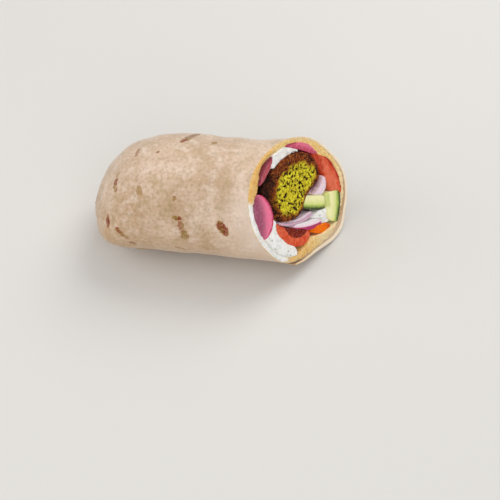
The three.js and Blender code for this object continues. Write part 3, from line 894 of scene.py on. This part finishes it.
# Noise frays the marks: it moves the place that they are looked up at by up to FRAY metres.
FRAY = 0.0018
fray = skin.node("TexNoise", Vector=skin.place, Scale=560.0, Detail=4.0, Roughness=0.65).outputs["Color"]
frayed = skin.node("VectorMath", operation="MULTIPLY_ADD", I_0=fray, I_1=(2 * FRAY,) * 3,
                   I_2=skin.place).outputs[0]
frayed = skin.node("VectorMath", operation="SUBTRACT", I_0=frayed, I_1=(FRAY,) * 3).outputs[0]
inside, heat = nearness(skin, frayed)
patchy = skin.spread(skin.clouds(1.4, 4, 0.65, (9, 9, 9)), 0.34, 0.58, 0.45, 1.0)
redder = skin.spread(skin.clouds(3.4, 3, 0.5, (7, 3, 1)), 0.42, 0.58)
golden = skin.mix(redder, "b89550", "bd7648")
burnt = skin.mix(skin.times(redder, heat), "86641c", "7c2a06")
base = skin.mix(skin.times(skin.spread(inside, -0.5, 0.1, 0, 0.75), heat), base, golden)
marked = skin.times(skin.times(skin.spread(inside, -0.12, 0.12), heat), patchy)
base = skin.mix(marked, base, burnt)
skin.bump(skin.clouds(4.5, 3, 0.5, (2, 2, 2)), 0.5)
skin.bump(skin.clouds(0.8, 4, 0.6, (4, 4, 4)), 0.16)
baked = skin.done(base, skin.spread(mid_clouds, 0.3, 0.7, 0.62, 0.88))

# %% Cut edge of the bread
# Painted light makes the crumb paler at the right, where more light falls, and painted shade makes it
# darker under the lap.
edge = Finish("bread_crumb_at_the_cut", Roughness=0.75, Specular_IOR_Level=0.3, Subsurface_Weight=0.15,
              Subsurface_Scale=1.0, Subsurface_Radius=(0.002, 0.0012, 0.0006))
flakes = edge.clouds(0.9, 4, 0.6)
under_lap, across_cut, _ = edge.kept("layer")
crumb_colour = edge.mix(edge.spread(flakes, 0.35, 0.65), "dcb98a", "f3dcb4")
crumb_colour = edge.mix(edge.spread(edge.clouds(9, 2), 0.4, 0.65, 0, 0.5), crumb_colour, "e8c08a")
crumb_colour = edge.mix(edge.spread(across_cut, -5, 16, 0, 0.75), crumb_colour, "fff0da")
# Painted shade: darker under the lap.
crumb_colour = edge.mix(edge.spread(under_lap, 0.4, 0.6, 0, 0.6), crumb_colour, "b98a58")
edge.bump(flakes, 0.2)
crumb_edge = edge.done(crumb_colour)

for material in (baked, crumb_edge):
    flatbread.data.materials.append(material)
print("the bread has", len(skin.tree.nodes), "nodes in its skin and", len(edge.tree.nodes), "at its cut")

# %% [markdown]
# ## Hummus and sauce
#
# Hummus: golden cream, sandy, with specks of paprika. Garlic sauce: nearly white, wet, with
# chopped herbs that show through it as soft grey-green spots. Both let light in a little, which
# subsurface scattering gives.

# %% Hummus, with sauce smeared over it
def sauce_tone(finish):
    """Cream with soft grey-green spots where herbs show through."""
    milky = finish.mix(finish.spread(finish.clouds(4, 3), 0.35, 0.65), "f2efe9", "fffefb")
    chives = finish.clouds(2.4, 3, 0.5, (3, 8, 1))
    milky = finish.mix(finish.spread(chives, 0.58, 0.72, 0, 0.55), milky, "c3cdbf")
    blue = finish.clouds(1.5, 2, 0.5, (6, 1, 2))
    return finish.mix(finish.spread(blue, 0.66, 0.74, 0, 0.5), milky, "9db1b6")


paste = Finish("hummus", Roughness=0.55, Specular_IOR_Level=0.4, Subsurface_Weight=0.2,
               Subsurface_Scale=1.0, Subsurface_Radius=(0.0018, 0.001, 0.0004))
smeared, behind, face_side = paste.kept("smear")
sand = paste.clouds(0.9, 4, 0.6)
lumps = paste.clouds(3.2, 3, 0.5, (5, 5, 5))
tone = paste.mix(paste.spread(sand, 0.35, 0.66), "e2ae58", "fcdc94")
tone = paste.mix(paste.spread(lumps, 0.4, 0.65, 0, 0.6), tone, "ffe6ac")
# Round the face, painted light makes it paler at the right, and painted shade makes it browner at the
# left and low down.
at_left = paste.times(paste.spread(face_side, 125, 150), paste.spread(face_side, 215, 190))
tone = paste.mix(paste.times(at_left, 0.55), tone, "dba24a")
low_down = paste.times(paste.spread(face_side, 235, 255), paste.spread(face_side, 295, 280))
tone = paste.mix(paste.times(low_down, 0.35), tone, "dba24a")
at_right = paste.math("MAXIMUM", paste.spread(face_side, 60, 30), paste.spread(face_side, 290, 315))
tone = paste.mix(paste.times(at_right, 0.45), tone, "fff0cc")
tone = paste.mix(paste.spread(paste.clouds(1.3, 2, 0.5, (8, 2, 5)), 0.66, 0.74, 0, 0.8), tone, "b8552a")
tone = paste.mix(paste.spread(paste.clouds(1.5, 2, 0.5, (1, 7, 3)), 0.68, 0.75, 0, 0.6), tone, "8a7a35")
tone = paste.mix(smeared, tone, sauce_tone(paste))
# Painted shade: darker and browner the deeper it lies behind the cut, between the pieces.
tone = paste.mix(paste.spread(behind, 2.5, 6, 0, 0.6), tone, "6b3d1e")
paste.bump(sand, 0.35)
hummus.data.materials.append(paste.done(tone))
print("hummus:", len(paste.tree.nodes), "nodes")

# %% Garlic sauce's finish
cream_finish = Finish("garlic_sauce", Roughness=0.28, Specular_IOR_Level=0.5, Subsurface_Weight=0.35,
                      Subsurface_Scale=1.0, Subsurface_Radius=(0.002, 0.0018, 0.0015), Coat_Weight=0.25,
                      Coat_Roughness=0.15)
hollow, _, _ = cream_finish.kept("hollow")
in_shade = cream_finish.spread(hollow, 1.6, 4.2, 0, 0.85)
milky = cream_finish.mix(in_shade, sauce_tone(cream_finish), "5c2c1c")
cream_finish.bump(cream_finish.clouds(1.1, 3), 0.12)
sauce.data.materials.append(cream_finish.done(milky))
print("garlic sauce:", len(cream_finish.tree.nodes), "nodes")

# %% [markdown]
# ## Falafel
#
# The mesh keeps how deep each point lies under the fried shell. Frying colours from the outside in: red
# brown, golden, and then the raw green of the herbs. One ramp over that depth paints crust, golden rim
# and crumb with no hard border. The nearly black cracks and pits, and the crust that lies back from the
# cut, are painted shade, and the light specks and golden crags are painted highlights.

# %% Fried crust and green crumb
fried = Finish("falafel", Roughness=0.7, Specular_IOR_Level=0.15, Subsurface_Weight=0.08,
               Subsurface_Scale=1.0, Subsurface_Radius=(0.001, 0.0008, 0.0003))
deep, open_face, pit = fried.kept("bite")
crag, hidden, to_the_right = fried.kept("crust")
fleck = fried.clouds(1.3, 4, 0.65)
fine = fried.clouds(0.7, 3, 0.6, (4, 4, 4))
blotch = fried.clouds(4.2, 3, 0.6, (3, 3, 3))
uneven_depth = fried.math("ADD", deep, fried.spread(blotch, 0.2, 0.8, -1.2, 1.2))
# The crust: brown flecks, painted highlights on its specks and crags, and painted shade in its cracks and
# pits, where it turns away behind the cut, and at its left beside the radish.
crust = fried.mix(fried.spread(fleck, 0.36, 0.64), "4a1406", "93420f")
# Painted highlights: light tan specks.
crust = fried.mix(fried.spread(fine, 0.53, 0.66, 0, 0.75), crust, "c6843e")
# Painted shade: nearly black in the cracks.
crust = fried.mix(fried.spread(crag, -0.05, -0.45, 0, 0.85), crust, "180602")
# Painted highlights: golden on the raised crags.
crust = fried.mix(fried.spread(crag, 0.05, 0.4, 0, 0.4), crust, "a8541a")
# Painted shade in the pits and the hole of the broken side.
crust = fried.mix(fried.times(fried.spread(pit, 0.5, 0.9), open_face), crust, "1c0802")
# Painted shade: darker the further it lies behind the cut.
crust = fried.mix(fried.spread(hidden, -0.6, 2.6, 0, 0.95), crust, "120401")
# Painted shade: darker at its left, in the shadow of the radish.
crust = fried.mix(fried.spread(to_the_right, -18, -23, 0, 0.75), crust, "1a0803")
# The crumb: yellow green of chickpeas and herbs, with painted shade in its pits.
green = fried.mix(fried.spread(fleck, 0.36, 0.62), "b8a318", "f0e430")
green = fried.mix(fried.spread(blotch, 0.52, 0.66, 0, 0.45), green, "b08c0e")
green = fried.mix(fried.spread(fried.clouds(2.2, 3, 0.6, (6, 2, 6)), 0.49, 0.64, 0, 0.7), green, "8c7812")
green = fried.mix(fried.spread(fine, 0.54, 0.68, 0, 0.7), green, "f2e94e")
green = fried.mix(fried.spread(fine, 0.46, 0.3, 0, 0.6), green, "50410a")
# Painted shade in the pits.
green = fried.mix(fried.spread(pit, 0.1, 0.95), green, "45350a")
golden_rim = fried.mix(fried.spread(uneven_depth, 0.9, 2.8), "9a5a10", green)
# Painted shade in the pits of the golden rim, too.
golden_rim = fried.mix(fried.times(fried.spread(pit, 0.2, 0.8), 0.8), golden_rim, "34180a")
body = fried.mix(fried.spread(uneven_depth, 0.1, 1.1), crust, golden_rim)
body = fried.mix(fried.spread(open_face, 0.15, 0.7), crust, body)
fried.bump(fleck, 0.3)
falafel.data.materials.clear()
falafel.data.materials.append(fried.done(body))
print("falafel:", len(fried.tree.nodes), "nodes")


# %% [markdown]
# ## Vegetables
#
# Wet cut vegetables are slightly see-through and have a thin glossy film, so each finish has some
# subsurface scattering and a coat. What tells them apart is where their colours lie: the skin
# along one edge, a paler core, the layers of an onion. All of it is painted in the slice's own
# measures: along, across and behind the cut.

# %% A wet slice
def wet(name, roughness, scatter, radius):
    return Finish(name, Roughness=roughness, Specular_IOR_Level=0.5, Subsurface_Weight=scatter,
                  Subsurface_Scale=1.0, Subsurface_Radius=radius, Coat_Weight=0.3, Coat_Roughness=0.12)


def dress(name, material):
    slices[name][0].data.materials.clear()
    slices[name][0].data.materials.append(material)
    print(name, "has", len(material.node_tree.nodes), "nodes")


# %% Pickled radish
RADISH_BOW = 0.03  # the skin line comes in towards the ends of the slice, as its outline does


def radish(name, low_tone, high_tone, skin_tone, skin_side, skin_at, skin_until=99.0, pale=None):
    """Pink flesh between two tones across the slice, with darker skin along one side of it, and a painted
    highlight towards one end where `pale` is given.
    """
    finish = wet(name, 0.3, 0.25, (0.003, 0.0008, 0.001))
    along, across, _ = finish.kept("slice")
    fibres = finish.clouds(1.5, 3, 0.5, stretch=(1, 1, 0.5))
    streaks = finish.math("ADD", across, finish.spread(fibres, 0.3, 0.7, -0.8, 0.8))
    tone = finish.mix(finish.spread(streaks, -2.6, 2.6), low_tone, high_tone)
    tone = finish.mix(finish.spread(fibres, 0.5, 0.7, 0, 0.22), tone, "f2a9c0")
    tone = finish.mix(finish.spread(fibres, 0.46, 0.32, 0, 0.2), tone, "8f2446")
    side = finish.times(across, skin_side)
    # Where `pale` is given, a paler area towards one end and one side of the slice is a painted
    # highlight.
    if pale:
        patch = finish.times(finish.spread(along, -4.5, -1.5), finish.spread(across, -0.4, 0.8))
        tone = finish.mix(finish.times(patch, 0.8), tone, pale)
    wavy = finish.math("ADD", side, finish.spread(fibres, 0.3, 0.7, -0.25, 0.25))
    bow = finish.times(finish.times(along, along), RADISH_BOW)
    wavy = finish.math("ADD", wavy, bow)
    line = finish.times(finish.spread(wavy, skin_at - 0.5, skin_at + 0.3, 0, 0.9),
                       finish.spread(along, skin_until + 1, skin_until - 1))
    tone = finish.mix(line, tone, skin_tone)
    finish.bump(fibres, 0.1)
    dress(name, finish.done(tone))


# The top slice gets a painted highlight at its upper right.
radish("radish_top", "c6345c", "d85078", "a81648", 1, 1.2, skin_until=-2.0, pale="ec7492")
radish("radish_side", "c04a54", "a42c42", "781028", 1, 1.3)
radish("radish_front", "fc769f", "9e4064", "cc1456", -1, 4.0)


# %% Tomato
def tomato(name, skin_side, skin_at, core, pulp, pulp_tone):
    """Coral flesh, redder skin, and wet pulp where `pulp` says, in places along and across."""
    finish = wet(name, 0.3, 0.3, (0.003, 0.0008, 0.0005))
    finish.set(finish.shader, {"Specular_IOR_Level": 0.15, "Coat_Weight": 0.04})
    along, across, behind = finish.kept("slice")
    fibres = finish.clouds(3.0, 3, 0.5, stretch=(1, 1, 0.6))
    fine = finish.clouds(1.2, 3, 0.6)
    side = finish.times(across, skin_side)
    tone = finish.mix(finish.spread(fibres, 0.36, 0.66), "d64a22", "e86c46")
    tone = finish.mix(finish.spread(fine, 0.5, 0.68, 0, 0.2), tone, "f39a7c")
    tone = finish.mix(finish.spread(across, 1.4, 0.2, 0, core), tone, "f08a68")
    wet_part = pulp(finish, along, across)
    tone = finish.mix(wet_part, tone, pulp_tone)
    seeds = finish.times(wet_part, finish.spread(fine, 0.52, 0.64, 0, 0.4))
    tone = finish.mix(seeds, tone, "b85a24")
    tone = finish.mix(finish.spread(side, skin_at - 0.4, skin_at + 0.4), tone, "b62a14")
    # Painted shade: darker the further the flesh lies behind the cut.
    tone = finish.mix(finish.spread(behind, 0.4, 3, 0, 0.7), tone, "6e1408")
    finish.bump(fine, 0.12)
    dress(name, finish.done(tone))


def pulp_at_the_top(finish, along, across):
    """Dark flesh at the upper end and on the inner side, fading down the slice."""
    ragged = finish.spread(finish.clouds(2.6, 3, 0.5, (2, 2, 2)), 0.3, 0.7, -1.2, 1.2)
    reach = finish.math("ADD", finish.math("ADD", finish.times(across, 1.7), along), ragged)
    return finish.spread(reach, -5.5, -9.5, 0, 0.9)


def pulp_in_a_notch(finish, along, across):
    """A V of wet pulp, open upwards, with its point low in the middle of the slice."""
    ragged = finish.spread(finish.clouds(1.8, 3, 0.5, (2, 2, 2)), 0.3, 0.7, -0.3, 0.3)
    left_arm = finish.spread(along, 4.6, -15.4, 0, 5.0)
    right_arm = finish.spread(along, 4.6, 14.6, 0, 2.4)
    rise = finish.math("SUBTRACT", finish.math("ADD", across, ragged), left_arm)
    return finish.spread(finish.math("SUBTRACT", rise, right_arm), -0.6, -0.1, 0, 0.97)


tomato("tomato_upper", 1, 2.6, 0.35, pulp_at_the_top, "bc3412")
tomato("tomato_lower", -1, 4.6, 0.0, pulp_in_a_notch, "741002")


# %% Cucumber
def cucumber(name, skin_at, widening=0.0):
    """Pale flesh that greens towards the dark skin; the skin takes up more width along the slice."""
    finish = wet(name, 0.3, 0.4, (0.0025, 0.0025, 0.001))
    finish.set(finish.shader, {"Specular_IOR_Level": 0.25, "Coat_Weight": 0.1})
    along, across, _ = finish.kept("slice")
    veins = finish.clouds(2.0, 3, 0.55)
    side = finish.math("ADD", finish.times(across, -1), finish.spread(veins, 0.3, 0.7, -0.25, 0.25))
    side = finish.math("SUBTRACT", side, finish.times(along, widening))
    tone = finish.mix(finish.spread(side, skin_at - 4.5, skin_at - 0.8), "faf5b8", "dee588")
    tone = finish.mix(finish.spread(side, skin_at - 1.6, skin_at), tone, "98b046")
    tone = finish.mix(finish.spread(side, skin_at - 0.2, skin_at + 0.7), tone, "3a4a08")
    tone = finish.mix(finish.spread(veins, 0.55, 0.7, 0, 0.3), tone, "f4f2cc")
    if widening:
        # Its inner side, seen beside the smaller piece, is a stronger green: painted shade on that side.
        side_wall = finish.times(finish.spread(across, 2.3, 3.0), finish.spread(along, -1.5, 0.5))
        tone = finish.mix(finish.times(side_wall, 0.6), tone, "b2c650")
    finish.bump(veins, 0.1)
    dress(name, finish.done(tone))


cucumber("cucumber_large", 2.35, 0.13)
cucumber("cucumber_small", 2.2)


# %% Onion
def onion(name, pale, shade, line_side, line_at, line, layers_at=()):
    """Pale flesh, a coloured skin along one side, and a thin line where two layers meet. On the petal the
    darker side and its lines are painted shade, not skin.
    """
    finish = wet(name, 0.22, 0.4, (0.002, 0.0014, 0.0016))
    _, across, _ = finish.kept("slice")
    fibres = finish.clouds(1.6, 3, 0.5)
    side = finish.times(across, line_side)
    tone = finish.mix(finish.spread(side, -1.6, line_at), pale, shade)
    tone = finish.mix(finish.spread(fibres, 0.48, 0.7, 0, 0.5), tone, "fbf2f5")
    for layer_at in layers_at:
        away = finish.math("ABSOLUTE", finish.math("SUBTRACT", side, layer_at))
        tone = finish.mix(finish.spread(away, 0.22, 0.05, 0, 0.7), tone, line)
    tone = finish.mix(finish.spread(side, line_at - 0.15, line_at + 0.3), tone, line)
    finish.bump(fibres, 0.1)
    dress(name, finish.done(tone))


onion("onion_strip", "e6ccd8", "d6a6bc", -1, 1.1, "8a5a72", layers_at=(-0.2,))
onion("onion_skin", "fbeef0", "f5cede", -1, 0.2, "b80e66")
# On the petal, the mauve side and the dark lines along it are painted shade.
onion("onion_petal", "f2d6e2", "aa7c7c", 1, 1.5, "7c4a54", layers_at=(1.1,))

# %% Carrot
orange = wet("carrot", 0.42, 0.3, (0.003, 0.0012, 0.0002))
orange.set(orange.shader, {"Specular_IOR_Level": 0.1, "Coat_Weight": 0.0})
along, _, _ = orange.kept("slice")
grain_of_carrot = orange.clouds(1.2, 4, 0.6)
carrot_tone = orange.mix(orange.spread(grain_of_carrot, 0.35, 0.66), "f46000", "ff8608")
carrot_tone = orange.mix(orange.spread(along, 2.2, 4.2, 0, 0.7), carrot_tone, "c8480a")
orange.bump(grain_of_carrot, 0.15)
dress("carrot", orange.done(carrot_tone))
print("all", len(slices), "slices are painted")

# %% [markdown]
# ## Chopped herbs
#
# Chopped herbs lie in the sauce at the cut. Painted dots would be flat and would slide over the
# sauce's lumps, so one flake is modelled with few faces and copied to many spots, each copy
# turned and sized by chance. All the flakes are one mesh.

# %% Herb flakes in the sauce
def scatter(piece, count, seed, allowed):
    """Places and directions of `count` spots on the faces of a piece that `allowed` accepts."""
    draw = random.Random(seed)
    centres = points(piece, "polygons", "center")
    facing = points(piece, "polygons", "normal")
    good = np.flatnonzero(allowed(centres, facing))
    return [(centres[k], facing[k], draw) for k in draw.sample(list(good), min(count, len(good)))]


def flakes_on(name, spots, size, flat):
    """A flattened little ball at every spot, all joined in one piece."""
    bpy.ops.object.select_all(action="DESELECT")
    bpy.ops.mesh.primitive_ico_sphere_add(subdivisions=1, radius=MM)
    flake = newest(name)
    shape = points(flake)
    faces = [tuple(face.vertices) for face in flake.data.polygons]
    all_points, all_faces = [], []
    for where, facing, draw in spots:
        big = draw.uniform(*size)
        turned = Euler([draw.uniform(-0.5, 0.5), draw.uniform(-0.5, 0.5), draw.uniform(0, 6.3)])
        upright = Vector(facing).to_track_quat("Z", "Y").to_matrix() @ turned.to_matrix()
        squeezed = shape * (big, big * draw.uniform(0.4, 0.8), big * flat)
        all_faces += [tuple(v + len(all_points) * len(shape) for v in face) for face in faces]
        all_points.append(squeezed @ np.array(upright).T + where)
    flake.data.clear_geometry()
    flake.data.from_pydata(np.concatenate(all_points) * MM, [], all_faces)
    flake.data.update()
    return flake


def on_the_sauce(centres, facing):
    return (behind_cut(centres) < 1.2) & (facing @ CUT_NORMAL > 0.5)


herbs = flakes_on("chopped_herbs", scatter(sauce, 18, 5, on_the_sauce), (0.4, 0.9), 0.13)
leaf = Finish("chopped_herbs", Roughness=0.5, Specular_IOR_Level=0.4)
leaf_tone = leaf.mix(leaf.spread(leaf.clouds(2.5, 2), 0.4, 0.6), "9aaa94", "c3cec2")
leaf.bump(leaf.clouds(0.3, 2), 0.05)
herbs.data.materials.append(leaf.done(leaf_tone))
print("herb flakes:", triangles(herbs), "triangles")

# %% [markdown]
# ## Put together
#
# Each piece rides on the wrap's one body and stands in for its solid. Faces are shaded smooth, but a true
# edge, such as the bread's cut edge, stays crisp.

# %% Ride and replace
def finished(piece, slot, *nodes):
    only(piece)
    bpy.ops.object.shade_smooth_by_angle(angle=math.radians(40))
    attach(piece, "root")
    if nodes:
        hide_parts(*nodes)


finished(flatbread, "flatbread", "flatbread")
finished(hummus, "hummus", "hummus")
finished(sauce, "garlic_sauce", "garlic_sauce")
finished(falafel, "falafel", "falafel")
finished(herbs, "garlic_sauce")
for name in SLICES:
    finished(slices[name][0], name.split("_")[0], name)
total = sum(triangles(o) for o in bpy.data.objects if o.type == "MESH" and not o.hide_render)
print("the whole object has", total, "triangles")

# %% [markdown]
# ## Floor, lamps and camera
#
# A plain pale floor and soft studio light. One lamp stands high on the right and behind, as a
# window would, two wider ones fill in from the front and the left, and an even grey world softens
# the shadows. The camera looks down at the cut from in front, with a long lens, so that the roll
# keeps its shape.

# %% Floor
bpy.ops.object.select_all(action="DESELECT")
bpy.ops.mesh.primitive_plane_add(size=6)
floor_sheet = newest("floor")
paper = bpy.data.materials.new("pale_floor")
paper.use_nodes = True
paper.node_tree.nodes["Principled BSDF"].inputs["Base Color"].default_value = (0.72, 0.71, 0.69, 1)
paper.node_tree.nodes["Principled BSDF"].inputs["Roughness"].default_value = 0.9
floor_sheet.data.materials.append(paper)
print("the floor is", round(floor_sheet.dimensions.x, 1), "m wide")

# %% Lamps
LAMPS_AIM = Vector((0, 0, 0.03))  # the middle of the roll


def lamp(name, where, size, watts, tint):
    light = bpy.data.lights.new(name, "AREA")
    light.size, light.energy, light.color = size, watts, tint
    holder = bpy.data.objects.new(name, light)
    bpy.context.scene.collection.objects.link(holder)
    holder.location = where
    holder.rotation_euler = (LAMPS_AIM - Vector(where)).to_track_quat("-Z", "Y").to_euler()


lamp("window", (0.35, 0.55, 0.80), 0.7, 5.0, (1, 0.97, 0.93))
lamp("front_fill", (0.3, -0.9, 0.6), 0.9, 3.6, (1, 1, 1))
lamp("left_fill", (-0.9, -0.3, 0.7), 0.9, 5.0, (1, 0.97, 0.94))
world = bpy.data.worlds.new("studio")
world.use_nodes = True
world.node_tree.nodes["Background"].inputs["Color"].default_value = (1, 1, 1, 1)
world.node_tree.nodes["Background"].inputs["Strength"].default_value = 0.45
bpy.context.scene.world = world
bpy.context.scene.view_settings.view_transform = "Standard"

# %% Camera
AZIMUTH, ELEVATION, DISTANCE = math.radians(6), math.radians(48), 0.62
AIM = Vector((0.01555, -0.01970, 0.01246))
back = Vector((math.sin(AZIMUTH) * math.cos(ELEVATION), -math.cos(AZIMUTH) * math.cos(ELEVATION),
               math.sin(ELEVATION)))
camera = bpy.data.objects.new("camera", bpy.data.cameras.new("camera"))
bpy.context.scene.collection.objects.link(camera)
camera.data.lens, camera.data.sensor_width = 88, 36
camera.location = AIM + back * DISTANCE
camera.rotation_euler = (-back).to_track_quat("-Z", "Y").to_euler()
bpy.context.scene.camera = camera
print(f"the camera stands {DISTANCE:.2f} m from the roll, with a {camera.data.lens:.0f} mm lens")
